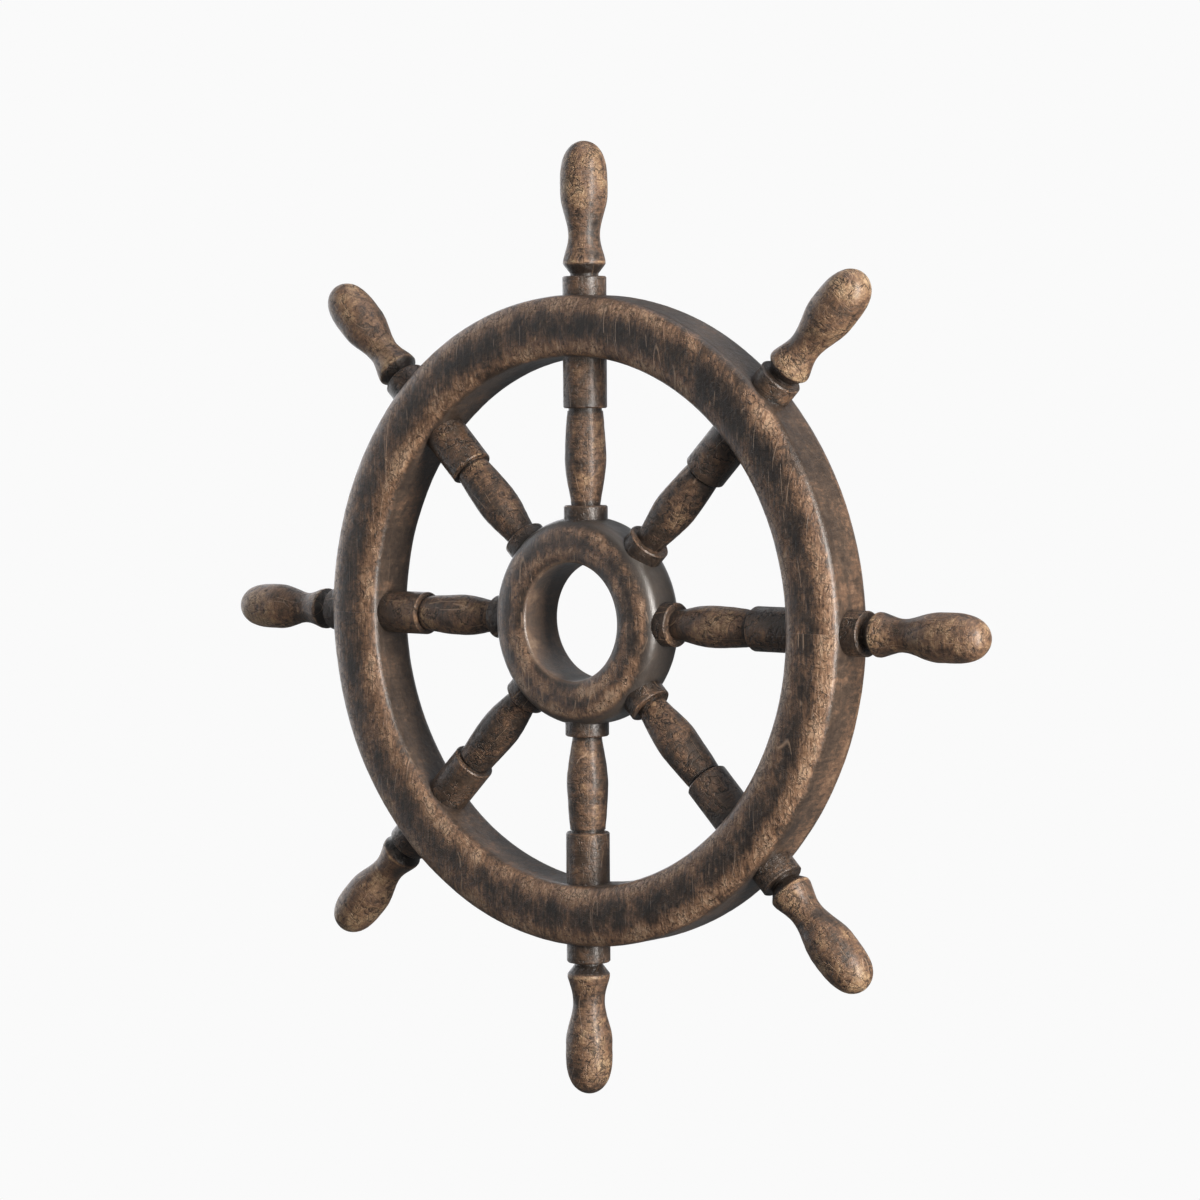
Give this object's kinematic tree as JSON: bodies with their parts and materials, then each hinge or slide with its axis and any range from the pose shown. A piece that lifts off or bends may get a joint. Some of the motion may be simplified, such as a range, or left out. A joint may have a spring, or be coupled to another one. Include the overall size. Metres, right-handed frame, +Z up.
{
  "type": "ship steering wheel",
  "caption": "Wooden ship's steering wheel with turned spokes and handles, a thick rounded rim of joined felloes and an open nave, in dark worn varnished timber.",
  "frame": {"origin": "middle of the axle hole, halfway through the nave's depth", "axes": "wheel standing in the XZ plane; +Z up through the upright spoke, +Y along the axle out of the back, -Y out of the front face, +X to the right seen from the front"},
  "size_m": [0.914, 0.064, 0.914],
  "materials": {
    "nave_and_rim_timber": "worn satin varnish over dark stain, grimy, with brown wear on the rounded edges",
    "turned_timber": "worn satin varnish, cracked, handled lighter on the grips",
    "peg_timber": "end grain, trimmed flush"
  },
  "bodies": {
    "root": {"nave": "nave_and_rim_timber", "spoke_1": "turned_timber", "spoke_2": "turned_timber", "spoke_3": "turned_timber", "spoke_4": "turned_timber", "spoke_5": "turned_timber", "spoke_6": "turned_timber", "spoke_7": "turned_timber", "spoke_8": "turned_timber", "front_felloe_1": "nave_and_rim_timber", "front_felloe_2": "nave_and_rim_timber", "front_felloe_3": "nave_and_rim_timber", "front_felloe_4": "nave_and_rim_timber", "middle_felloe_1": "nave_and_rim_timber", "middle_felloe_2": "nave_and_rim_timber", "middle_felloe_3": "nave_and_rim_timber", "middle_felloe_4": "nave_and_rim_timber", "middle_felloe_5": "nave_and_rim_timber", "middle_felloe_6": "nave_and_rim_timber", "middle_felloe_7": "nave_and_rim_timber", "middle_felloe_8": "nave_and_rim_timber", "back_felloe_1": "nave_and_rim_timber", "back_felloe_2": "nave_and_rim_timber", "back_felloe_3": "nave_and_rim_timber", "back_felloe_4": "nave_and_rim_timber", "rim_pegs": "peg_timber", "nave_pegs": "peg_timber"}
  },
  "joints": []
}
